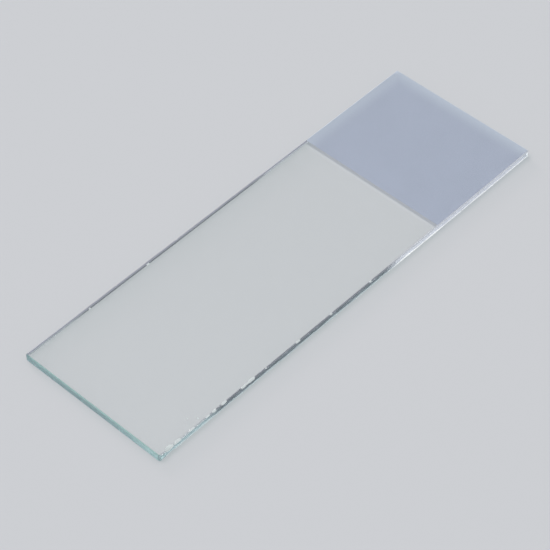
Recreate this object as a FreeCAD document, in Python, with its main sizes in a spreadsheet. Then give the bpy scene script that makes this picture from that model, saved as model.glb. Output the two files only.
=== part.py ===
# Microscope slide with one frosted writing end, as a parametric FreeCAD document.
#
# The slide is one pane of clear glass. It is cut to length and width, its four
# upright corners are eased, a narrow 45 degree arris is ground along the edges
# of both faces, and one end of the upper face is ground matt, right across to
# the edges, to take a pencil mark.
#
# Frame, in millimetres: the origin is the middle of the underside, +X runs along
# the slide towards the frosted end, +Y runs across it and +Z points up.

import FreeCAD, Part
import os
import Sketcher

# alias in the sheet, size in millimetres, what it measures
SIZES = [
    ("slide_length", 76.2, "long side of the pane, 3 inches"),
    ("slide_width", 25.4, "short side of the pane, 1 inch"),
    ("slide_thickness", 1.2, "underside to clear upper face"),
    ("corner_radius", 0.3, "easing of the four upright corners"),
    ("arris_leg", 0.15, "each leg of the arris round both faces"),
    ("frosted_length", 20.5, "frosted end to frost line"),
    ("frosting_depth", 0.02, "glass ground off the upper face"),
    ("grinding_overrun", 1.0, "how far the grinding runs out past the edges"),
]

# the four corners of a rectangle before its constraints size it
ROUGH_CORNERS = [(-1, -1), (1, -1), (1, 1), (-1, 1)]

# the sides of such a rectangle, and the two ends of a side
SOUTH, EAST, NORTH, WEST = range(4)
START, END = 1, 2

# the sketch's own X axis, whose start point is the sketch's origin
X_AXIS = -1

SAME_HEIGHT = 1e-6

GLASS_GRAMS_PER_MM3 = 2.5e-3


def make_sheet(doc):
    """Put the driving dimensions in a spreadsheet, one named row each."""
    sheet = doc.addObject("Spreadsheet::Sheet", "Sizes")
    for row, (alias, size, meaning) in enumerate(SIZES, start=1):
        sheet.set(f"A{row}", alias)
        sheet.set(f"B{row}", str(size))
        sheet.set(f"C{row}", meaning)
        sheet.setAlias(f"B{row}", alias)
    doc.recompute()


def rectangle_sketch(body, name):
    """Start a sketch on the body's ground plane with a rectangle yet to be sized."""
    sketch = body.newObject("Sketcher::SketchObject", name)
    planes = body.Origin.OriginFeatures
    ground = next(plane for plane in planes if plane.Role == "XY_Plane")
    sketch.AttachmentSupport = [(ground, "")]
    sketch.MapMode = "FlatFace"

    for side, (x, y) in enumerate(ROUGH_CORNERS):
        next_x, next_y = ROUGH_CORNERS[(side + 1) % len(ROUGH_CORNERS)]
        start = FreeCAD.Vector(x, y, 0)
        end = FreeCAD.Vector(next_x, next_y, 0)
        sketch.addGeometry(Part.LineSegment(start, end), False)

    for side in (SOUTH, EAST, NORTH, WEST):
        next_side = (side + 1) % len(ROUGH_CORNERS)
        join = Sketcher.Constraint("Coincident", side, END, next_side, START)
        sketch.addConstraint(join)
    for side in (SOUTH, NORTH):
        sketch.addConstraint(Sketcher.Constraint("Horizontal", side))
    for side in (EAST, WEST):
        sketch.addConstraint(Sketcher.Constraint("Vertical", side))
    return sketch


def bind_distance(sketch, name, formula, *constraint):
    """Add a named distance to a sketch and bind it to a formula in the sheet."""
    rough_distance = 2.0
    index = sketch.addConstraint(Sketcher.Constraint(*constraint, rough_distance))
    sketch.renameConstraint(index, name)
    sketch.setExpression(f"Constraints.{name}", formula)


def cut_blank(body):
    """Cut the pane to length, width and thickness, centred on the origin."""
    outline = rectangle_sketch(body, "BlankOutline")
    centred = Sketcher.Constraint("Symmetric", SOUTH, START, NORTH, START, X_AXIS, START)
    outline.addConstraint(centred)
    along = ("DistanceX", SOUTH, START, SOUTH, END)
    across = ("DistanceY", EAST, START, EAST, END)
    bind_distance(outline, "long_side", "Sizes.slide_length", *along)
    bind_distance(outline, "short_side", "Sizes.slide_width", *across)

    blank = body.newObject("PartDesign::Pad", "Blank")
    blank.Profile = outline
    blank.setExpression("Length", "Sizes.slide_thickness")
    body.Document.recompute()
    return blank


def ease_corners(body, blank):
    """Round the four upright corners, so that they don't catch or chip."""
    upright = []
    for number, edge in enumerate(blank.Shape.Edges, start=1):
        low, high = (vertex.Point for vertex in edge.Vertexes)
        if abs(high.z - low.z) > SAME_HEIGHT:
            upright.append(f"Edge{number}")

    corners = body.newObject("PartDesign::Fillet", "EasedCorners")
    corners.Base = (blank, upright)
    corners.setExpression("Radius", "Sizes.corner_radius")
    body.Document.recompute()
    return corners


def grind_arrises(body, corners):
    """Grind a 45 degree arris all round the underside and the upper face."""
    flat_faces = []
    for number, face in enumerate(corners.Shape.Faces, start=1):
        if face.BoundBox.ZLength < SAME_HEIGHT:
            flat_faces.append(f"Face{number}")

    arrises = body.newObject("PartDesign::Chamfer", "GroundArrises")
    arrises.Base = (corners, flat_faces)
    arrises.setExpression("Size", "Sizes.arris_leg")
    body.Document.recompute()
    return arrises


def frost_end(body):
    """Grind one end of the upper face matt, from the frost line out over the edges.

    The sketch's origin is moved to the middle of the frosted end's upper edge.
    """
    outline = rectangle_sketch(body, "FrostedOutline")
    outline.setExpression("AttachmentOffset.Base.x", "Sizes.slide_length / 2")
    outline.setExpression("AttachmentOffset.Base.z", "Sizes.slide_thickness")
    half_run = "Sizes.slide_width / 2 + Sizes.grinding_overrun"
    inwards = ("DistanceX", WEST, START, X_AXIS, START)
    outwards = ("DistanceX", X_AXIS, START, EAST, START)
    southwards = ("DistanceY", SOUTH, START, X_AXIS, START)
    northwards = ("DistanceY", X_AXIS, START, NORTH, START)
    bind_distance(outline, "frost_line", "Sizes.frosted_length", *inwards)
    bind_distance(outline, "past_the_end", "Sizes.grinding_overrun", *outwards)
    bind_distance(outline, "past_south_side", half_run, *southwards)
    bind_distance(outline, "past_north_side", half_run, *northwards)

    frosting = body.newObject("PartDesign::Pocket", "Frosting")
    frosting.Profile = outline
    frosting.setExpression("Length", "Sizes.frosting_depth")
    body.Document.recompute()
    return frosting


def check_model(doc, slide, before_frosting):
    """Stop unless every object worked and the grinding took glass away."""
    for item in doc.Objects:
        failed = [state for state in item.State if state in ("Invalid", "Error")]
        if failed:
            raise RuntimeError(f"{item.Label} did not compute: {failed}")
    if slide.Shape.isNull() or not slide.Shape.isValid():
        raise RuntimeError("the slide is not a valid solid")
    if len(slide.Shape.Solids) != 1:
        raise RuntimeError("the slide is not one piece")
    if slide.Shape.Volume >= before_frosting.Shape.Volume:
        raise RuntimeError("the frosting took no glass away")


def main():
    """Build the slide and write its STEP file."""
    doc = FreeCAD.newDocument("MicroscopeSlide")
    make_sheet(doc)

    slide = doc.addObject("PartDesign::Body", "slide")
    slide.Label = "slide"
    blank = cut_blank(slide)
    corners = ease_corners(slide, blank)
    arrises = grind_arrises(slide, corners)
    frosting = frost_end(slide)
    slide.Tip = frosting
    doc.recompute()
    check_model(doc, slide, arrises)

    os.makedirs("parts", exist_ok=True)
    slide.Shape.exportStep(f"parts/{slide.Label}.step")

    box = slide.Shape.BoundBox
    grams = slide.Shape.Volume * GLASS_GRAMS_PER_MM3
    print(f"slide: {box.XLength:.3f} x {box.YLength:.3f} x {box.ZLength:.3f} mm, {grams:.2f} g")


main()
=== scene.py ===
"""Looks of a microscope slide with one frosted writing end.

The pane is one closed glass mesh with a slot of its own for each finish: the
polished faces, the frosted end and the polished glass below it, the near and
the far long side, the whitened line at the foot of the near one, the cut short
ends, the narrow arrises and the broken glass of the chips. Every length is in
metres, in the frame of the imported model: +X runs along the slide to its frosted
end, +Y across it and +Z up.
"""

import logging
import math
import random
from collections.abc import Callable
from dataclasses import dataclass, field, replace
from enum import Enum

import bmesh
import bpy
from mathutils import Matrix, Vector, noise


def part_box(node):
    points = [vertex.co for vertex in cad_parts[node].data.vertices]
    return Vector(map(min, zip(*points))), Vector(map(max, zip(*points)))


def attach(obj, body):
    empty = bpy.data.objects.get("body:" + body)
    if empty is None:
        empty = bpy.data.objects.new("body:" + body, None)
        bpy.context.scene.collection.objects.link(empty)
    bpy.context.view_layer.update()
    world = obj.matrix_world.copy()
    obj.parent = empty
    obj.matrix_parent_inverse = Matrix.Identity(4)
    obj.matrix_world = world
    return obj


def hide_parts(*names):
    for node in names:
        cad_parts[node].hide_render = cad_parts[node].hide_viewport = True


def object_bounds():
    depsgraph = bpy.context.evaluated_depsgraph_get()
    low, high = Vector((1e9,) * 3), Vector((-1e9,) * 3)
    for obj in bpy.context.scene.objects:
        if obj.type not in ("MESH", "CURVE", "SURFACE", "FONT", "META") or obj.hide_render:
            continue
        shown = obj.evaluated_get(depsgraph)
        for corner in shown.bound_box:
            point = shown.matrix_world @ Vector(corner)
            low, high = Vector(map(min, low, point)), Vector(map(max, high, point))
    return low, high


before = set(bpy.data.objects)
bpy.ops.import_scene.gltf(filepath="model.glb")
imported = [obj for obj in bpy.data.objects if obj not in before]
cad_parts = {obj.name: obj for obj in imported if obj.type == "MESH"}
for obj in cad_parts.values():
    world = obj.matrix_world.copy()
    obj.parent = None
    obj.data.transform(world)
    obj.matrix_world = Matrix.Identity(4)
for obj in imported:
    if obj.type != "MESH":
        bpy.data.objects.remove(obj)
CAD_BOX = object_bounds()

LOG = logging.getLogger("slide")
MM = 0.001
# two lengths that differ by less than this are the same
TINY = 1e-6
# and this is for cuts, and for edges that run straight along an axis
TINIER = TINY / 10
# the share of a diagonal that goes along each of its two axes
DIAGONAL = math.sqrt(0.5)

Pair = tuple[float, float]
Triple = tuple[float, float, float]
Colour = Triple
Socket = bpy.types.NodeSocket
Source = Socket | float | tuple[float, ...]

WHITE: Colour = (1.0, 1.0, 1.0)
# a noise pattern's middle, and the range that holds nearly all of it
NOISE_MIDDLE = 0.5
NOISE_RANGE: Pair = (0.3, 0.7)
# how many finer octaves the finest patterns have
FINE_DETAIL = 3.0
# a cell so long that a pattern hardly changes along it
ENDLESS = 1.0


class Slot(Enum):
    """The finishes of the pane, in the order of its material slots."""

    POLISHED = 0
    FROSTED = 1
    LONG_SIDE = 2
    SHORT_END = 3
    ARRIS = 4
    LOWER_LINE = 5
    BROKEN = 6
    FAR_SIDE = 7
    UNDER_FROSTING = 8


class Axis(Enum):
    """The axes of the frame, by their place in a vector."""

    ALONG = 0
    ACROSS = 1
    UP = 2


class Side(Enum):
    """The two long sides, by the sign of their place across the pane."""

    NEAR = -1
    FAR = 1


def from_srgb(red: int, green: int, blue: int) -> Colour:
    """Turn a colour in steps of 0 to 255 into the linear one that shaders use.

    Args:
        red: the red step.
        green: the green step.
        blue: the blue step.

    Returns:
        The linear colour.
    """
    top_step, power, offset = 255, 2.4, 0.055
    knee, straight_slope = 0.04045, 12.92
    parts = []
    for step in (red, green, blue):
        share = step / top_step
        curved = ((share + offset) / (1.0 + offset)) ** power
        parts.append(share / straight_slope if share <= knee else curved)
    return tuple(parts)


# ---------------------------------------------------------------- node tools


class Tree:
    """A thin wrapper that adds and joins the nodes of one tree."""

    def __init__(self, tree: bpy.types.NodeTree) -> None:
        """Keep the tree and empty it.

        Args:
            tree: the node tree of a material, a world or a group.
        """
        self.tree = tree
        self.tree.nodes.clear()

    def add(self, kind: str, **settings: object) -> bpy.types.Node:
        """Add a node.

        Args:
            kind: the node's type without "ShaderNode", such as "Math", or a group's own end.
            settings: properties to set on it, by name.

        Returns:
            The new node.
        """
        whole = kind if kind.startswith("NodeGroup") else "ShaderNode" + kind
        node = self.tree.nodes.new(whole)
        for name, value in settings.items():
            setattr(node, name, value)
        return node

    def feed(self, socket: Socket, source: Source) -> None:
        """Give an input a plain value, or link an output to it.

        Args:
            socket: the input.
            source: an output socket, a number or a tuple.
        """
        if isinstance(source, bpy.types.NodeSocket):
            self.tree.links.new(source, socket)
        else:
            socket.default_value = source

    def maths(self, operation: str, *sources: Source) -> Socket:
        """Add a Math node.

        Args:
            operation: its operation, such as "MULTIPLY".
            sources: one number or output for each input.

        Returns:
            Its output.
        """
        node = self.add("Math", operation=operation)
        for socket, source in zip(node.inputs, sources):
            self.feed(socket, source)
        return node.outputs[0]

    def span(
        self, value: Source, low: float, high: float, start: Source = 0.0, end: Source = 1.0
    ) -> Socket:
        """Map a range smoothly onto another.

        Args:
            value: the number to map.
            low: where the range starts.
            high: where it ends.
            start: the result at its start and before.
            end: the result at its end and after.

        Returns:
            The mapped number.
        """
        node = self.add("MapRange", interpolation_type="SMOOTHSTEP")
        for socket, source in zip(node.inputs, (value, low, high, start, end)):
            self.feed(socket, source)
        return node.outputs[0]

    def place(self) -> Socket:
        """Return the piece's own coordinates, in metres."""
        return self.add("TexCoord").outputs["Object"]

    def parts(self, vector: Socket) -> bpy.types.NodeOutputs:
        """Split a vector.

        Args:
            vector: the vector's output.

        Returns:
            The outputs of its parts, by their names X, Y and Z.
        """
        node = self.add("SeparateXYZ")
        self.feed(node.inputs[0], vector)
        return node.outputs

    def cells(self, place: Socket, sizes: Source, detail: float = 2.0, turn: float = 0.0) -> Socket:
        """Add a noise pattern with cells of the given sizes along the axes.

        Args:
            place: the coordinates it follows.
            sizes: the size of a cell along X, Y and Z, in metres.
            detail: how many finer octaves it has.
            turn: how far it is turned about Z.

        Returns:
            Its value, around a half.
        """
        turned = self.add("VectorRotate", rotation_type="Z_AXIS")
        self.feed(turned.inputs["Vector"], place)
        self.feed(turned.inputs["Angle"], turn)
        scaled = self.add("VectorMath", operation="DIVIDE")
        self.feed(scaled.inputs[0], turned.outputs[0])
        self.feed(scaled.inputs[1], sizes)
        texture = self.add("TexNoise", noise_dimensions="3D")
        self.feed(texture.inputs["Vector"], scaled.outputs[0])
        self.feed(texture.inputs["Scale"], 1.0)
        self.feed(texture.inputs["Detail"], detail)
        return texture.outputs["Fac"]

    def blend(self, share: Source, first: Source, second: Source) -> Socket:
        """Mix two colours.

        Args:
            share: how much there is of the second.
            first: a colour or an output.
            second: a colour or an output.

        Returns:
            The mixed colour.
        """
        node = self.add("Mix", data_type="RGBA")
        inputs = {socket.identifier: socket for socket in node.inputs}
        outputs = {socket.identifier: socket for socket in node.outputs}
        self.feed(inputs["Factor_Float"], share)
        for name, colour in (("A_Color", first), ("B_Color", second)):
            self.feed(inputs[name], (*colour, 1.0) if isinstance(colour, tuple) else colour)
        return outputs["Result_Color"]


# ------------------------------------------------------------------ finishes


def grain_group() -> bpy.types.NodeTree:
    """Build the fine grain that all the worked glass shares.

    Returns:
        A group that gives the grain's height and the roughness that goes with it.
    """
    name = "worked_glass_grain"
    made = bpy.data.node_groups.get(name)
    if made is not None:
        return made
    made = bpy.data.node_groups.new(name, "ShaderNodeTree")
    inputs = {"Place": "Vector", "Cell": "Vector", "Smoothest": "Float", "Roughest": "Float"}
    for label, kind in inputs.items():
        made.interface.new_socket(label, in_out="INPUT", socket_type="NodeSocket" + kind)
    for label in ("Height", "Roughness"):
        made.interface.new_socket(label, in_out="OUTPUT", socket_type="NodeSocketFloat")
    tree = Tree(made)
    given = tree.add("NodeGroupInput").outputs
    height = tree.cells(given["Place"], given["Cell"], FINE_DETAIL)
    roughness = tree.span(height, *NOISE_RANGE, given["Smoothest"], given["Roughest"])
    result = tree.add("NodeGroupOutput")
    tree.feed(result.inputs["Height"], height)
    tree.feed(result.inputs["Roughness"], roughness)
    return made


@dataclass(frozen=True)
class GlassFinish:
    """Worked glass: ground, cut or broken, with a grain.

    The tint is what light keeps when it goes in and out through the surface, and
    the grain makes it paler here and there. The lamp tint is what a lamp's light
    keeps on its way to what lies below. The spread is the share of the surface
    that light crosses scattered all ways, seen from both sides or only from inside
    the glass.
    """

    name: str
    tint: Colour
    smoothest: float
    roughest: float
    grain: Triple
    bump: float
    paler: float = 1.06
    transmission: float = 1.0
    lamp_tint: Colour = (0.72, 0.78, 0.77)
    spread: float = 0.0
    spread_tint: Colour = (0.94, 0.97, 0.97)
    spread_inside: bool = False
    index: float = 1.52

    def build(self) -> bpy.types.Material:
        """Make the material.

        Returns:
            The material, with lamps let through it to what lies below.
        """
        material = bpy.data.materials.new(self.name)
        material.use_nodes = True
        tree = Tree(material.node_tree)
        shader = tree.add("BsdfPrincipled")
        tree.feed(shader.inputs["IOR"], self.index)
        tree.feed(shader.inputs["Transmission Weight"], self.transmission)
        self.dress(tree, shader)
        path = tree.add("LightPath")
        clear = tree.add("BsdfTransparent")
        tree.feed(clear.inputs["Color"], (*self.lamp_tint, 1.0))
        soft_light = tree.maths("MAXIMUM", path.outputs["Is Shadow Ray"], path.outputs["Is Diffuse Ray"])
        mix = tree.add("MixShader")
        tree.feed(mix.inputs[0], soft_light)
        tree.feed(mix.inputs[1], self.add_spread(tree, shader.outputs[0]))
        tree.feed(mix.inputs[2], clear.outputs[0])
        tree.feed(tree.add("OutputMaterial").inputs["Surface"], mix.outputs[0])
        return material

    def add_spread(self, tree: Tree, glass: Socket) -> Socket:
        """Mix in a surface that lets light through it, spread all ways.

        Args:
            tree: the material's nodes.
            glass: the shader of the glass by itself.

        Returns:
            The mixed shader, or the glass's own where nothing is spread.
        """
        if self.spread == 0.0:
            return glass
        share: Source = self.spread
        if self.spread_inside:
            share = tree.maths("MULTIPLY", tree.add("NewGeometry").outputs["Backfacing"], share)
        spread = tree.add("BsdfTranslucent")
        tree.feed(spread.inputs["Color"], self.spread_colour(tree))
        mix = tree.add("MixShader")
        tree.feed(mix.inputs[0], share)
        tree.feed(mix.inputs[1], glass)
        tree.feed(mix.inputs[2], spread.outputs[0])
        return mix.outputs[0]

    def spread_colour(self, tree: Tree) -> Source:
        """Return the colour of the spread light."""
        return (*self.spread_tint, 1.0)

    def colour(self, tree: Tree, place: Socket, height: Socket) -> Socket:
        """Vary the tint a little with the grain.

        Args:
            tree: the material's nodes.
            place: the piece's own coordinates, not used here.
            height: the grain's height.

        Returns:
            The colour of the surface.
        """
        pale = tuple(min(part * self.paler, 1.0) for part in self.tint)
        return tree.blend(height, self.tint, pale)

    def dress(self, tree: Tree, shader: bpy.types.Node) -> None:
        """Give the shader its colour, roughness and grain.

        Args:
            tree: the material's nodes.
            shader: its Principled node.
        """
        place = tree.place()
        grain = tree.add("Group", node_tree=grain_group())
        tree.feed(grain.inputs["Place"], place)
        tree.feed(grain.inputs["Cell"], self.grain)
        tree.feed(grain.inputs["Smoothest"], self.smoothest)
        tree.feed(grain.inputs["Roughest"], self.roughest)
        height = grain.outputs["Height"]
        tree.feed(shader.inputs["Roughness"], grain.outputs["Roughness"])
        tree.feed(shader.inputs["Base Color"], self.colour(tree, place, height))
        self.relief(tree, shader, height)

    def relief(self, tree: Tree, shader: bpy.types.Node, height: Socket) -> None:
        """Give the shader a bump.

        Args:
            tree: the material's nodes.
            shader: its Principled node.
            height: the height pattern, from 0 to 1.
        """
        bump = tree.add("Bump")
        tree.feed(bump.inputs["Strength"], self.bump)
        tree.feed(bump.inputs["Distance"], min(self.grain))
        tree.feed(bump.inputs["Height"], height)
        tree.feed(shader.inputs["Normal"], bump.outputs[0])


@dataclass(frozen=True)
class PolishedFinish(GlassFinish):
    """Float glass as it comes from the works: flat and clear, with faint wear."""

    scratch_gaps: Pair = (5.1 * MM, 7.3 * MM)
    scratch_turns: Pair = (0.4, -0.7)
    scratch_straightness: float = 6.0
    scratch_width: float = 0.004
    scratch_roughness: float = 0.12
    break_cells: Triple = (9 * MM, 7 * MM, 5 * MM)
    breaks: Pair = (0.5, 0.62)
    haze_cells: Triple = (14 * MM, 11 * MM, 9 * MM)
    haze: Pair = (0.4, 0.7)

    def dress(self, tree: Tree, shader: bpy.types.Node) -> None:
        """Give the shader hairline scratches and a breath of haze.

        Args:
            tree: the material's nodes.
            shader: its Principled node.
        """
        place = tree.place()
        hairs = []
        for gap, turn in zip(self.scratch_gaps, self.scratch_turns):
            cells = (self.scratch_straightness * gap, gap, ENDLESS)
            waves = tree.cells(place, cells, FINE_DETAIL, turn)
            off_centre = tree.maths("ABSOLUTE", tree.maths("SUBTRACT", waves, NOISE_MIDDLE))
            hairs.append(tree.span(off_centre, 0.0, self.scratch_width, 1.0, 0.0))
        broken = tree.span(tree.cells(place, self.break_cells), *self.breaks)
        scratches = tree.maths("MULTIPLY", tree.maths("MAXIMUM", *hairs), broken)
        cloud = tree.cells(place, self.haze_cells)
        film = tree.span(cloud, *self.haze, self.smoothest, self.roughest)
        scuffed = tree.maths("MULTIPLY", scratches, self.scratch_roughness)
        tree.feed(shader.inputs["Roughness"], tree.maths("ADD", film, scuffed))
        tree.feed(shader.inputs["Base Color"], (*self.tint, 1.0))
        self.relief(tree, shader, scratches)


@dataclass(frozen=True)
class ArrisFinish(GlassFinish):
    """Ground or cut glass along an edge, in three stretches.

    Light crosses the whole width of the pane before it leaves by a long edge, so
    most of the edge is dark, and the tint paints that darkness in as shade. Near the
    clear end the edge is scuffed all over and paler for it, and beside the frosting,
    where the light comes from close by, a painted glow makes it pale. The tint is
    that of the dark stretch. The spread tint is that of the scuffed stretch, and the
    spread beyond holds those of the dark one and of the last one: painted shade and
    painted glow in the light spread through the edge.
    """

    scuffed_tint: Colour = WHITE
    scuffed: Pair = (-30.5 * MM, -26.0 * MM)
    # painted glow beside the frosting, of the light that the frosting spreads through the glass
    frosting_glow_tint: Colour = WHITE
    by_frosting: Pair = (5.5 * MM, 10.5 * MM)
    spread_beyond: tuple[Colour, Colour] | None = None

    def spread_colour(self, tree: Tree) -> Source:
        """Colour the spread light by stretches, with its painted shade and glow, if the last two have
        tints of their own.

        Args:
            tree: the material's nodes.

        Returns:
            The colour, or an output that gives it.
        """
        if self.spread_beyond is None:
            return super().spread_colour(tree)
        return self.along(tree, tree.parts(tree.place())["X"], self.spread_tint, *self.spread_beyond)

    def along(self, tree: Tree, x: Socket, scuffed: Source, dark: Source, white: Source) -> Socket:
        """Blend the colours of the three stretches.

        Args:
            tree: the material's nodes.
            x: the place along the pane.
            scuffed: the colour near the clear end.
            dark: the colour of the clear stretch, painted shade.
            white: the colour beside the frosting, a painted glow.

        Returns:
            The colour at that place.
        """
        clear_part = tree.blend(tree.span(x, *self.scuffed), scuffed, dark)
        return tree.blend(tree.span(x, *self.by_frosting), clear_part, white)

    def colour(self, tree: Tree, place: Socket, height: Socket) -> Socket:
        """Colour the three stretches of the edge, with painted shade in the dark one and a painted glow
        beside the frosting.

        Args:
            tree: the material's nodes.
            place: the piece's own coordinates.
            height: the grain's height.

        Returns:
            The colour of the surface.
        """
        dark = super().colour(tree, place, height)
        x = tree.parts(place)["X"]
        return self.along(tree, x, self.scuffed_tint, dark, self.frosting_glow_tint)


@dataclass(frozen=True)
class LongSideFinish(ArrisFinish):
    """A ground long side, streaked and scalloped by the grinding."""

    corner_tint: Colour = (0.42, 0.68, 0.66)
    corner: Pair = (-37.3 * MM, -36.5 * MM)
    scallops: Triple = (1.1 * MM, 2.0 * MM, 0.3 * MM)
    scalloped: Pair = (0.45, 0.7)
    dash_tint: Colour = (0.62, 0.66, 0.72)
    dash_rows: Triple = (0.5 * MM, 0.68 * MM, 0.86 * MM)
    dashed: Pair = (0.45, 0.6)

    def colour(self, tree: Tree, place: Socket, height: Socket) -> Socket:
        """Colour the side: paler scallops, painted glints on the grinding's scallops, in the painted
        shade of the dark stretch, and dashes in the painted glow beside the frosting.

        Args:
            tree: the material's nodes.
            place: the piece's own coordinates.
            height: the grain's height, not used here.

        Returns:
            The colour of the surface.
        """
        at = tree.parts(place)
        streak = tree.cells(place, self.scallops)
        # the grinding's scallops, painted in as paler glints over the painted shade of the dark stretch
        dark = tree.blend(tree.span(streak, *self.scalloped), self.tint, self.scuffed_tint)
        scuffed = tree.blend(tree.span(at["X"], *self.corner), self.corner_tint, self.scuffed_tint)
        low, middle, high = self.dash_rows
        rise = tree.span(at["Z"], low, middle)
        fall = tree.span(at["Z"], middle, high, 1.0, 0.0)
        row = tree.maths("MULTIPLY", rise, fall)
        dashes = tree.maths("MULTIPLY", row, tree.span(streak, *self.dashed))
        # the painted glow beside the frosting, with a row of darker dashes along the side
        white = tree.blend(dashes, self.frosting_glow_tint, self.dash_tint)
        return self.along(tree, at["X"], scuffed, dark, white)


@dataclass(frozen=True)
class FrostedFinish(GlassFinish):
    """The frosted writing end: an even matt grey-blue with a fine grain."""

    cloud_cells: Triple = (6 * MM, 5 * MM, 4 * MM)
    cloud_paler: float = 1.03
    # painted glow along the far edges, of light that comes in by the edges
    rim_glow_tint: Colour = from_srgb(181, 191, 206)
    rim_start: float = 0.2 * MM
    rim_width: float = 2.7 * MM
    half_width: float = CAD_BOX[1].y
    far_end: float = CAD_BOX[1].x
    speck_tint: Colour = (0.8, 0.82, 0.86)
    specks: Pair = (0.3, 0.75)
    speck_share: float = 0.12

    def colour(self, tree: Tree, place: Socket, height: Socket) -> Socket:
        """Cloud the frosting a little, and paint a paler glow along its far edges, where light that
        comes in by the edges lights it from below.

        Args:
            tree: the material's nodes.
            place: the piece's own coordinates.
            height: the grain's height.

        Returns:
            The colour of the surface.
        """
        at = tree.parts(place)
        to_side = tree.maths("SUBTRACT", self.half_width, at["Y"])
        to_end = tree.maths("SUBTRACT", self.far_end, at["X"])
        nearest = tree.maths("MINIMUM", to_side, to_end)
        # the painted rim glow, strongest at the far edges
        rim = tree.span(nearest, self.rim_start, self.rim_width, 1.0, 0.0)
        cloud = tree.span(tree.cells(place, self.cloud_cells), *NOISE_RANGE)
        body = tree.blend(cloud, self.tint, tuple(self.cloud_paler * part for part in self.tint))
        specks = tree.span(height, *self.specks, 0.0, self.speck_share)
        speckled = tree.blend(specks, body, self.speck_tint)
        return tree.blend(rim, speckled, self.rim_glow_tint)


POLISHED = PolishedFinish(
    name="polished_float_glass", tint=(0.988, 0.996, 0.995), smoothest=0.0, roughest=0.02,
    grain=(0.05 * MM, 0.05 * MM, 0.05 * MM), bump=0.02, lamp_tint=(0.975, 0.983, 0.982),
)
FINISHES: dict[Slot, GlassFinish] = {
    Slot.POLISHED: POLISHED,
    Slot.FROSTED: FrostedFinish(
        name="frosted_writing_end", tint=from_srgb(158, 168, 188), smoothest=0.6, roughest=0.8,
        grain=(0.12 * MM, 0.12 * MM, 0.12 * MM), bump=0.25, transmission=0.25,
        lamp_tint=(0.95, 0.96, 0.98), spread=1.0, spread_tint=(0.68, 0.7, 0.75), spread_inside=True,
    ),
    # the dark tints of the clear stretch, base and spread, are painted shade; the tints beside the
    # frosting are a painted glow
    Slot.LONG_SIDE: LongSideFinish(
        name="ground_long_side", tint=(0.15, 0.23, 0.23), smoothest=0.1, roughest=0.25,
        grain=(1.6 * MM, 0.3 * MM, 0.12 * MM), bump=0.12,
        scuffed_tint=(0.64, 0.84, 0.87), frosting_glow_tint=(0.7, 0.74, 0.81), spread=0.5,
        spread_tint=(0.42, 0.57, 0.58), spread_beyond=((0.14, 0.16, 0.18), (0.66, 0.69, 0.76)),
    ),
    # the paler spread tint inside the frosted end is a painted glow
    Slot.SHORT_END: ArrisFinish(
        name="cut_short_end", tint=(0.34, 0.73, 0.66), smoothest=0.3, roughest=0.46,
        grain=(0.4 * MM, 1.2 * MM, 0.2 * MM), bump=0.1,
        scuffed_tint=(0.35, 0.74, 0.67), frosting_glow_tint=(0.35, 0.74, 0.67), spread=1.0,
        spread_tint=(0.36, 0.54, 0.5), spread_beyond=(WHITE, (0.84, 0.88, 0.92)), spread_inside=True,
    ),
    # the dark grey tint of the clear stretch is painted shade; the tint beside the frosting is a painted
    # glow
    Slot.ARRIS: ArrisFinish(
        name="ground_arris", tint=(0.24, 0.26, 0.3), smoothest=0.6, roughest=0.85,
        grain=(0.5 * MM, 0.15 * MM, 0.15 * MM), bump=0.3, transmission=0.3,
        scuffed_tint=(0.6, 0.66, 0.7), frosting_glow_tint=(0.72, 0.76, 0.83),
    ),
    # the near-white base and spread beside the frosting are a painted glow; the darker spread of the
    # clear stretch is painted shade
    Slot.LOWER_LINE: ArrisFinish(
        name="whitened_lower_line", tint=(0.8, 0.88, 0.88), smoothest=0.3, roughest=0.6,
        grain=(0.5 * MM, 0.2 * MM, 0.1 * MM), bump=0.3, transmission=0.6, spread=0.92,
        spread_tint=(0.5, 0.59, 0.61), spread_beyond=((0.44, 0.51, 0.53), (0.96, 0.97, 0.98)),
        scuffed_tint=(0.8, 0.88, 0.88), frosting_glow_tint=WHITE,
    ),
    Slot.BROKEN: GlassFinish(
        name="broken_glass", tint=(0.9, 0.98, 0.97), smoothest=0.3, roughest=0.5,
        grain=(0.3 * MM, 0.12 * MM, 0.12 * MM), bump=0.4, transmission=0.15, spread=0.75,
        spread_tint=(0.9, 0.94, 0.93),
    ),
    # the dark tint is painted shade, the tint beside the frosting a painted glow, and the low spread
    # tint paints shade on the far wall as seen from inside
    Slot.FAR_SIDE: LongSideFinish(
        name="ground_far_side", tint=(0.15, 0.23, 0.23), smoothest=0.2, roughest=0.4,
        grain=(1.6 * MM, 0.3 * MM, 0.12 * MM), bump=0.15,
        scuffed_tint=(0.36, 0.55, 0.58), frosting_glow_tint=(0.84, 0.87, 0.92),
        spread=1.0, spread_tint=(0.3, 0.312, 0.365), spread_inside=True,
    ),
    Slot.UNDER_FROSTING: replace(
        POLISHED, name="float_glass_under_frosting", lamp_tint=(0.68, 0.7, 0.73)
    ),
}


# ------------------------------------------------------------------ the pane


@dataclass(frozen=True)
class Flake:
    """A shell-shaped hollow where glass has come off: the part of a ball that dips in."""

    centre: Vector
    radius: float
    stretch: float = 1.0

    def takes(self, point: Vector) -> bool:
        """Say whether the hollow takes a point.

        Args:
            point: a point of the pane.

        Returns:
            Whether it lies in the ball.
        """
        away = point - self.centre
        away.x /= self.stretch
        return TINY < away.length < self.radius

    def press(self, point: Vector) -> Vector:
        """Push a point that lies in the ball out onto its surface.

        Args:
            point: a point of the pane.

        Returns:
            The point's new place.
        """
        away = point - self.centre
        away.x /= self.stretch
        away *= self.radius / away.length
        away.x *= self.stretch
        return self.centre + away


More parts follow.
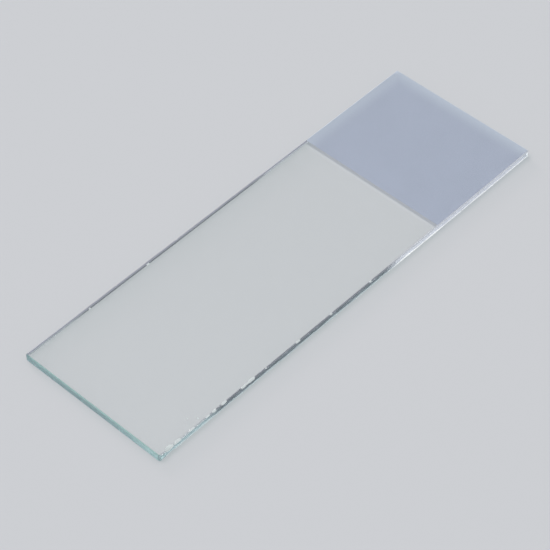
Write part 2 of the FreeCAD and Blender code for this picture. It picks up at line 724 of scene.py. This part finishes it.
@dataclass(frozen=True)
class EdgeChip:
    """One chip off a long edge, by its place and size.

    The depth is measured from where the two faces would meet without an arris.
    """

    from_clear_end: float
    radius: float
    depth: float
    stretch: float
    upper: bool = True
    side: Side = Side.NEAR


@dataclass(frozen=True)
class Ripple:
    """One layer of unevenness: how long and how high its cells are, and how strong it is.

    With cells of endless height, it is the same all the way up the side.
    """

    along: float
    up: float
    strength: float


@dataclass(frozen=True)
class Unevenness:
    """What the grinding leaves along the long sides, as ripples on a level.

    The lane sets how far apart the two sides and the ripples lie in the noise, so
    that no two of them look the same.
    """

    level: float
    lane: float
    ripples: tuple[Ripple, ...]

    def at(self, place: Vector) -> float:
        """Say how far the surface strays at a place of the long sides.

        Args:
            place: a point on a long side or its arrises.

        Returns:
            The sum of the level and its ripples, which differ from side to side.
        """
        total = self.level
        side = math.copysign(self.lane, place.y)
        for number, ripple in enumerate(self.ripples, start=1):
            cell = Vector((place.x / ripple.along, number * side, place.z / ripple.up))
            total += ripple.strength * noise.noise(cell)
        return total


@dataclass
class SlideGlass:
    """The pane: ground, chipped and frosted as a slide from the box is.

    The edge rows are rows of points laid beside the long edges, by how far in they
    lie, and the side rows are those on the long sides, by their height. The line is
    the whitened one at the foot of the near side. The sway is how deep the grinding
    goes, and the wave is how far the top of the line strays. A pit is placed by how
    far it lies from the clear end and from the near side.
    """

    name: str = "slide_pane"
    node: str = "slide"
    corner_radius: float = 0.3 * MM
    corner_steps: int = 8
    arris_leg: float = 0.15 * MM
    frosted_length: float = 20.5 * MM
    frosting_depth: float = 0.02 * MM
    edge_rows: tuple[float, ...] = (0.22 * MM, 0.3 * MM, 0.4 * MM, 0.52 * MM, 0.7 * MM)
    side_rows: tuple[float, ...] = (
        0.25 * MM, 0.35 * MM, 0.45 * MM, 0.58 * MM, 0.7 * MM, 0.82 * MM, 0.94 * MM,
    )
    step: float = 0.1 * MM
    end_step: float = 0.25 * MM
    sharp_angle: float = math.radians(14)
    arris_wander: float = 0.03 * MM
    side_wander: float = 0.006 * MM
    sway: Unevenness = Unevenness(
        level=0.5, lane=4.0,
        ripples=(Ripple(2.6 * MM, 0.9 * MM, 0.6), Ripple(0.45 * MM, 0.3 * MM, 0.25)),
    )
    line_height: float = 0.45 * MM
    line_start: float = 1.2 * MM
    line_reach: float = 0.23 * MM
    line_wander: float = 0.11 * MM
    wave: Unevenness = Unevenness(
        level=0.0, lane=7.0,
        ripples=(Ripple(3.1 * MM, math.inf, 1.4), Ripple(0.7 * MM, math.inf, 0.8)),
    )
    # how far from the frosted end the near side takes the whitened line's finish: a painted highlight on
    # the upright corner there
    corner_highlight_reach: float = 0.55 * MM
    pit_radius: float = 0.45 * MM
    pit_depth: float = 0.045 * MM
    pit_rows: int = 3
    pit_margin: float = 1.5
    pits: tuple[Pair, ...] = ((6.9 * MM, 1.8 * MM), (7.9 * MM, 0.8 * MM))
    chips: list[EdgeChip] = field(default_factory=list)

    def __post_init__(self) -> None:
        """Read the pane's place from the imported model."""
        self.low, self.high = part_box(self.node)
        self.middle = (self.low + self.high) / 2
        self.frost_line = self.high.x - self.frosted_length

    def build(self) -> bpy.types.Object:
        """Make the piece.

        Returns:
            The finished pane, riding on the model's body.
        """
        mesh = bpy.data.meshes.new(self.name)
        shape = bmesh.new()
        self.cut_blank(shape)
        self.divide(shape)
        for face in shape.faces:
            face.material_index = self.slot_of(face).value
        self.grind(shape)
        self.strike(shape)
        self.sink_frosting(shape)
        bmesh.ops.recalc_face_normals(shape, faces=shape.faces)
        shape.to_mesh(mesh)
        shape.free()
        mesh.polygons.foreach_set("use_smooth", [True] * len(mesh.polygons))
        mesh.set_sharp_from_angle(angle=self.sharp_angle)
        for slot in Slot:
            mesh.materials.append(FINISHES[slot].build())
        piece = bpy.data.objects.new(self.name, mesh)
        bpy.context.scene.collection.objects.link(piece)
        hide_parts(self.node)
        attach(piece, "root")
        return piece

    def cut_blank(self, shape: bmesh.types.BMesh) -> None:
        """Cut the blank, ease its upright corners and grind its arrises.

        Args:
            shape: the empty mesh to fill.
        """
        bmesh.ops.create_cube(shape, size=1.0)
        bmesh.ops.scale(shape, vec=self.high - self.low, verts=shape.verts)
        bmesh.ops.translate(shape, vec=self.middle, verts=shape.verts)
        upright = [e for e in shape.edges if abs(e.verts[0].co.z - e.verts[1].co.z) > TINY]
        bmesh.ops.bevel(
            shape, geom=upright, offset=self.corner_radius, offset_type="OFFSET", affect="EDGES",
            segments=self.corner_steps, profile=0.5, material=-1,
        )
        steep = math.radians(60)
        rims = [
            e for e in shape.edges
            if abs(e.verts[0].co.z - e.verts[1].co.z) < TINY and e.calc_face_angle(0.0) > steep
        ]
        bmesh.ops.bevel(
            shape, geom=rims, offset=self.arris_leg, offset_type="OFFSET", affect="EDGES",
            segments=1, profile=0.5, material=-1, clamp_overlap=True,
        )

    def slice_at(
        self, shape: bmesh.types.BMesh, axis: Axis, at: float,
        faces: list[bmesh.types.BMFace] | None = None,
    ) -> None:
        """Cut an edge loop across the pane, square to an axis.

        Args:
            shape: the mesh.
            axis: the axis that the cut is square to.
            at: where along that axis.
            faces: the faces to cut, if not all.
        """
        normal = Vector((0.0, 0.0, 0.0))
        normal[axis.value] = 1.0
        cut = shape.faces if faces is None else faces
        geometry = dict.fromkeys(part for face in cut for part in (face, *face.verts, *face.edges))
        bmesh.ops.bisect_plane(
            shape, geom=list(geometry), dist=TINIER, plane_co=normal * at, plane_no=normal
        )

    def divide(self, shape: bmesh.types.BMesh) -> None:
        """Lay rows beside the edges, and part them finely along the pane.

        Args:
            shape: the mesh.
        """
        inner = self.high.x - self.corner_radius
        for x in (-inner, inner, self.frost_line, self.frost_line + self.frosting_depth):
            self.slice_at(shape, Axis.ALONG, x)
        for inset in self.edge_rows:
            self.slice_at(shape, Axis.ACROSS, self.low.y + inset)
            self.slice_at(shape, Axis.ACROSS, self.high.y - inset)
        for height in self.side_rows:
            self.slice_at(shape, Axis.UP, self.low.z + height)
        self.part(shape, Axis.ALONG, self.step, lambda middle: True)
        self.part(shape, Axis.ACROSS, self.end_step, lambda middle: abs(middle.x) > inner + TINY)
        for x, y in self.pit_places():
            self.refine(shape, x, y)

    def part(
        self, shape: bmesh.types.BMesh, axis: Axis, step: float, wanted: Callable[[Vector], bool]
    ) -> None:
        """Divide the long edges that run along an axis.

        Args:
            shape: the mesh.
            axis: the axis that they run along.
            step: the length of the new edges.
            wanted: says of an edge's middle whether the edge is divided.
        """
        groups: dict[int, list[bmesh.types.BMEdge]] = {}
        for edge in shape.edges:
            start, end = (vert.co for vert in edge.verts)
            run = end - start
            straight = abs(abs(run[axis.value]) - run.length) < TINIER
            if straight and run.length > 2 * step and wanted((start + end) / 2):
                groups.setdefault(round(run.length / step), []).append(edge)
        for count, edges in groups.items():
            bmesh.ops.subdivide_edges(shape, edges=edges, cuts=count - 1, use_grid_fill=True)

    def pit_places(self) -> list[Pair]:
        """Return where the pits lie on the upper face."""
        return [(self.low.x + along, self.low.y + inset) for along, inset in self.pits]

    def refine(self, shape: bmesh.types.BMesh, x: float, y: float) -> None:
        """Part the upper face finely across the pane, round a pit to come.

        Args:
            shape: the mesh.
            x: the pit's place along the pane.
            y: its place across it.
        """
        for row in range(-self.pit_rows, self.pit_rows + 1):
            at = y + row * self.pit_radius / self.pit_rows
            near = [
                face for face in shape.faces
                if abs(face.calc_center_median().x - x) < self.pit_margin * self.pit_radius
                and min(v.co.z for v in face.verts) > self.high.z - TINY
                and min(v.co.y for v in face.verts) < at < max(v.co.y for v in face.verts)
            ]
            self.slice_at(shape, Axis.ACROSS, at, near)

    def grind(self, shape: bmesh.types.BMesh) -> None:
        """Let the long sides, their arrises and the whitened line wander.

        Args:
            shape: the mesh.
        """
        reach = self.arris_leg + TINY
        straight = self.high.x - self.corner_radius - TINY
        for vert in shape.verts:
            place = vert.co
            inset = self.high.y - abs(place.y)
            rim = min(place.z - self.low.z, self.high.z - place.z)
            if inset > reach or abs(place.x) > straight:
                continue
            on_side = rim > reach
            wander = self.side_wander if on_side else self.arris_wander
            depth = max(self.sway.at(place), 0.0) * wander
            if on_side:
                rise = self.line_wander * min(max(self.wave.at(place), -1.0), 1.0)
                off_line = abs(place.z - self.low.z - self.line_height)
                place.z += rise * max(1.0 - off_line / self.line_reach, 0.0)
            elif rim > TINY:
                place.z += math.copysign(depth, self.middle.z - place.z)
            place.y -= math.copysign(depth, place.y)

    def strike(self, shape: bmesh.types.BMesh) -> None:
        """Strike the chips out of the long edges, and the pits out of the upper face.

        Args:
            shape: the mesh.
        """
        flakes = [self.edge_flake(chip) for chip in self.chips]
        above = self.high.z + self.pit_radius - self.pit_depth
        flakes += [Flake(Vector((x, y, above)), self.pit_radius) for x, y in self.pit_places()]
        # only the columns of points, each 1 mm wide, that a flake can reach are searched
        columns: dict[int, list[bmesh.types.BMVert]] = {}
        for vert in shape.verts:
            columns.setdefault(math.floor(vert.co.x / MM), []).append(vert)
        struck = set()
        for flake in flakes:
            reach = flake.radius * flake.stretch
            first, last = (math.floor((flake.centre.x + way * reach) / MM) for way in (-1, 1))
            near = [vert for column in range(first, last + 1) for vert in columns.get(column, [])]
            for vert in filter(lambda v: flake.takes(v.co), near):
                vert.co = flake.press(vert.co)
                struck.add(vert)
        for face in {face for vert in struck for face in vert.link_faces}:
            if sum(vert in struck for vert in face.verts) >= len(face.verts) - 1:
                face.material_index = Slot.BROKEN.value

    def edge_flake(self, chip: EdgeChip) -> Flake:
        """Place a chip's ball outside its edge, on the diagonal.

        Args:
            chip: the chip.

        Returns:
            The hollow that it leaves.
        """
        out = (chip.radius - chip.depth) * DIAGONAL
        edge_y = self.high.y + out if chip.side is Side.FAR else self.low.y - out
        edge_z = self.high.z + out if chip.upper else self.low.z - out
        centre = Vector((self.low.x + chip.from_clear_end, edge_y, edge_z))
        return Flake(centre, chip.radius, chip.stretch)

    def sink_frosting(self, shape: bmesh.types.BMesh) -> None:
        """Lower the frosted face by the depth that was ground off it.

        Args:
            shape: the mesh.
        """
        start = self.frost_line + self.frosting_depth - TINY
        for vert in shape.verts:
            if vert.co.x > start and vert.co.z > self.high.z - TINY:
                vert.co.z -= self.frosting_depth

    def slot_of(self, face: bmesh.types.BMFace) -> Slot:
        """Choose a face's finish by where it lies.

        Args:
            face: a face of the ground pane, before it is chipped.

        Returns:
            Its slot.
        """
        middle = face.calc_center_median()
        from_clear_end = middle.x - self.low.x
        from_frosted_end = self.high.x - middle.x
        to_end = min(from_clear_end, from_frosted_end)
        to_side = self.high.y - abs(middle.y)
        rim = min(middle.z - self.low.z, self.high.z - middle.z)
        on_flat_face = min(to_end, to_side) > self.arris_leg and rim < TINY
        on_arris = rim < self.arris_leg
        at_corner = max(to_end, to_side) < self.corner_radius
        if on_flat_face:
            if middle.x < self.frost_line:
                return Slot.POLISHED
            return Slot.FROSTED if middle.z > self.middle.z else Slot.UNDER_FROSTING
        if at_corner:
            if middle.x < 0:
                return Slot.LONG_SIDE
            # at the frosted end the upright corners take the whitened line's finish, a painted highlight
            # on the upright there
            return Slot.ARRIS if on_arris else Slot.LOWER_LINE
        if to_end < to_side:
            return Slot.ARRIS if on_arris and middle.x > 0 else Slot.SHORT_END
        if on_arris:
            return Slot.ARRIS
        if middle.y > 0:
            return Slot.FAR_SIDE
        lined = from_clear_end > self.line_start and middle.z < self.low.z + self.line_height
        # the whitened line along the foot, and near the frosted end a painted highlight on the upright
        # corner
        whitened = lined or from_frosted_end < self.corner_highlight_reach
        return Slot.LOWER_LINE if whitened else Slot.LONG_SIDE


@dataclass(frozen=True)
class ChipRun:
    """Tiny chips strung at random along one long edge.

    A chip's depth is what gets it through the arris and a share of its radius more.
    """

    side: Side
    start: float
    end: float
    radii: Pair
    shares: Pair
    stretches: Pair
    gaps: Pair
    upper_share: float
    through_arris: float = 0.1 * MM

    def chips(self, rng: random.Random) -> list[EdgeChip]:
        """List the chips of the run.

        Args:
            rng: the source of the random sizes and places.

        Returns:
            The chips, from the clear end on.
        """
        found = []
        along = self.start
        while along < self.end:
            radius = rng.uniform(*self.radii)
            depth = self.through_arris + radius * rng.uniform(*self.shares)
            stretch = rng.uniform(*self.stretches)
            upper = rng.random() < self.upper_share
            found.append(EdgeChip(along, radius, depth, stretch, upper=upper, side=self.side))
            along += rng.uniform(*self.gaps)
        return found


def edge_chips(seed: int = 11) -> list[EdgeChip]:
    """List the chips of both long edges, the widest of them by one corner.

    Args:
        seed: where the random sizes and places of the tiny ones start.

    Returns:
        The chips, in the order in which they are struck.
    """
    rng = random.Random(seed)
    # from the clear end, radius, depth, stretch
    chips = [
        EdgeChip(1.9 * MM, 0.9 * MM, 0.42 * MM, 1.1),
        EdgeChip(2.3 * MM, 0.8 * MM, 0.3 * MM, 1.2, upper=False),
        EdgeChip(3.4 * MM, 0.7 * MM, 0.3 * MM, 1.5),
        EdgeChip(4.4 * MM, 0.6 * MM, 0.16 * MM, 1.4, upper=False),
        EdgeChip(10.3 * MM, 0.6 * MM, 0.22 * MM, 1.3),
        EdgeChip(12.1 * MM, 0.6 * MM, 0.24 * MM, 1.5),
        EdgeChip(15.9 * MM, 0.7 * MM, 0.24 * MM, 1.3),
        EdgeChip(17.4 * MM, 0.8 * MM, 0.28 * MM, 1.4),
    ]
    runs = (
        ChipRun(
            side=Side.NEAR, start=6 * MM, end=46 * MM, radii=(0.24 * MM, 0.38 * MM), shares=(0.2, 0.4),
            stretches=(1.6, 3.2), gaps=(1.6 * MM, 4.6 * MM), upper_share=0.7,
        ),
        ChipRun(
            side=Side.FAR, start=1.5 * MM, end=74.7 * MM, radii=(0.2 * MM, 0.32 * MM), shares=(0.2, 0.4),
            stretches=(1.2, 2.6), gaps=(4 * MM, 12 * MM), upper_share=0.6,
        ),
    )
    for run in runs:
        chips += run.chips(rng)
    return chips


# ---------------------------------------------------------------- the studio


@dataclass(frozen=True)
class FarLamp:
    """A soft lamp so far off that it lights the whole floor evenly.

    The light is what a surface square to it receives, as a share of what makes a
    white one render white, and the spread is how wide the lamp looks from the slide.
    """

    name: str
    way: Triple
    light: float
    spread: float

    def hang(self) -> None:
        """Hang the lamp."""
        way = Vector(self.way).normalized()
        data = bpy.data.lights.new(self.name, "SUN")
        data.energy = self.light * math.pi
        data.angle = math.radians(self.spread)
        lamp = bpy.data.objects.new(self.name, data)
        lamp.location = way
        lamp.rotation_euler = way.to_track_quat("Z", "Y").to_euler()
        bpy.context.scene.collection.objects.link(lamp)


@dataclass
class Studio:
    """A pale floor under soft light, with the lamps behind the slide.

    Each step of the world is a height, from the horizon at 0 to the zenith at 1, and
    how strong the light is there.
    """

    floor_tone: Colour = from_srgb(202, 204, 208)
    floor_roughness: float = 0.9
    floor_specular: float = 0.1
    floor_half: float = 12.0
    floor_squares: int = 8
    floor_gap: float = 0.04 * MM
    world_steps: tuple[Pair, ...] = ((0.0, 0.63), (0.35, 0.44), (0.68, 0.36), (1.0, 1.04))
    world_tone: Colour = WHITE
    lamps: tuple[FarLamp, ...] = (
        FarLamp("key_lamp", way=(-0.2, 0.42, 0.885), light=0.37, spread=38.0),
        FarLamp("low_lamp", way=(0.25, 0.9, 0.32), light=0.35, spread=16.0),
    )

    def build(self) -> None:
        """Lay the floor and hang the lights."""
        self.lay_floor()
        self.fill_world()
        for lamp in self.lamps:
            lamp.hang()

    def lay_floor(self) -> None:
        """Make the floor, a hair below the pane."""
        shape = bmesh.new()
        squares = self.floor_squares
        bmesh.ops.create_grid(shape, x_segments=squares, y_segments=squares, size=self.floor_half)
        bmesh.ops.translate(shape, vec=(0, 0, CAD_BOX[0].z - self.floor_gap), verts=shape.verts)
        mesh = bpy.data.meshes.new("floor")
        shape.to_mesh(mesh)
        shape.free()
        material = bpy.data.materials.new("pale_floor")
        material.use_nodes = True
        tree = Tree(material.node_tree)
        shader = tree.add("BsdfPrincipled")
        tree.feed(shader.inputs["Base Color"], (*self.floor_tone, 1.0))
        tree.feed(shader.inputs["Roughness"], self.floor_roughness)
        tree.feed(shader.inputs["Specular IOR Level"], self.floor_specular)
        tree.feed(tree.add("OutputMaterial").inputs["Surface"], shader.outputs[0])
        mesh.materials.append(material)
        floor = bpy.data.objects.new("floor", mesh)
        bpy.context.scene.collection.objects.link(floor)

    def fill_world(self) -> None:
        """Surround the slide with soft light, brightest from above."""
        world = bpy.data.worlds.new("soft_room")
        world.use_nodes = True
        tree = Tree(world.node_tree)
        light = tree.add("Background")
        way = tree.parts(tree.add("TexCoord").outputs["Generated"])
        level: Source = self.world_steps[0][1]
        for (start, _), (end, strength) in zip(self.world_steps, self.world_steps[1:]):
            level = tree.span(way["Z"], start, end, level, strength)
        tree.feed(light.inputs["Color"], (*self.world_tone, 1.0))
        tree.feed(light.inputs["Strength"], level)
        tree.feed(tree.add("OutputWorld").inputs["Surface"], light.outputs[0])
        bpy.context.scene.world = world


@dataclass
class Viewpoint:
    """The camera: long and fairly high, over the clear end's near corner.

    Its place is in millimetres, as are its lens and its sensor.
    """

    place: Triple = (-156.05, -143.68, 230.85)
    right: Triple = (0.68115, -0.73214, -0.0029)
    forward: Triple = (0.48879, 0.45768, -0.7427)
    lens: float = 146.4
    sensor: float = 36.0
    nearest: float = 0.01
    farthest: float = 50.0

    def build(self) -> None:
        """Set the camera up and make it the scene's own."""
        data = bpy.data.cameras.new("camera")
        data.lens = self.lens
        data.sensor_width = self.sensor
        data.clip_start = self.nearest
        data.clip_end = self.farthest
        camera = bpy.data.objects.new("camera", data)
        forward = Vector(self.forward).normalized()
        right = Vector(self.right)
        right = (right - right.project(forward)).normalized()
        up = right.cross(forward)
        turn = Matrix((right, up, -forward)).transposed()
        camera.matrix_world = Matrix.Translation(Vector(self.place) * MM) @ turn.to_4x4()
        bpy.context.scene.collection.objects.link(camera)
        bpy.context.scene.camera = camera


def let_light_bounce(bounces: int = 48) -> None:
    """Let light go many times back and forth in the glass, and show colours as they are.

    Args:
        bounces: how many times a ray may turn, because one that enters by an edge
            runs the pane's whole length between its two faces.
    """
    scene = bpy.context.scene
    scene.view_settings.view_transform = "Standard"
    scene.cycles.max_bounces = bounces
    scene.cycles.glossy_bounces = bounces
    scene.cycles.transmission_bounces = bounces


def main() -> None:
    """Build the slide and the studio round it."""
    logging.basicConfig(level=logging.INFO)
    let_light_bounce()
    Viewpoint().build()
    pane = SlideGlass(chips=edge_chips()).build()
    LOG.info("%s: %d faces", pane.name, len(pane.data.polygons))
    Studio().build()


if __name__ == "__main__":
    main()
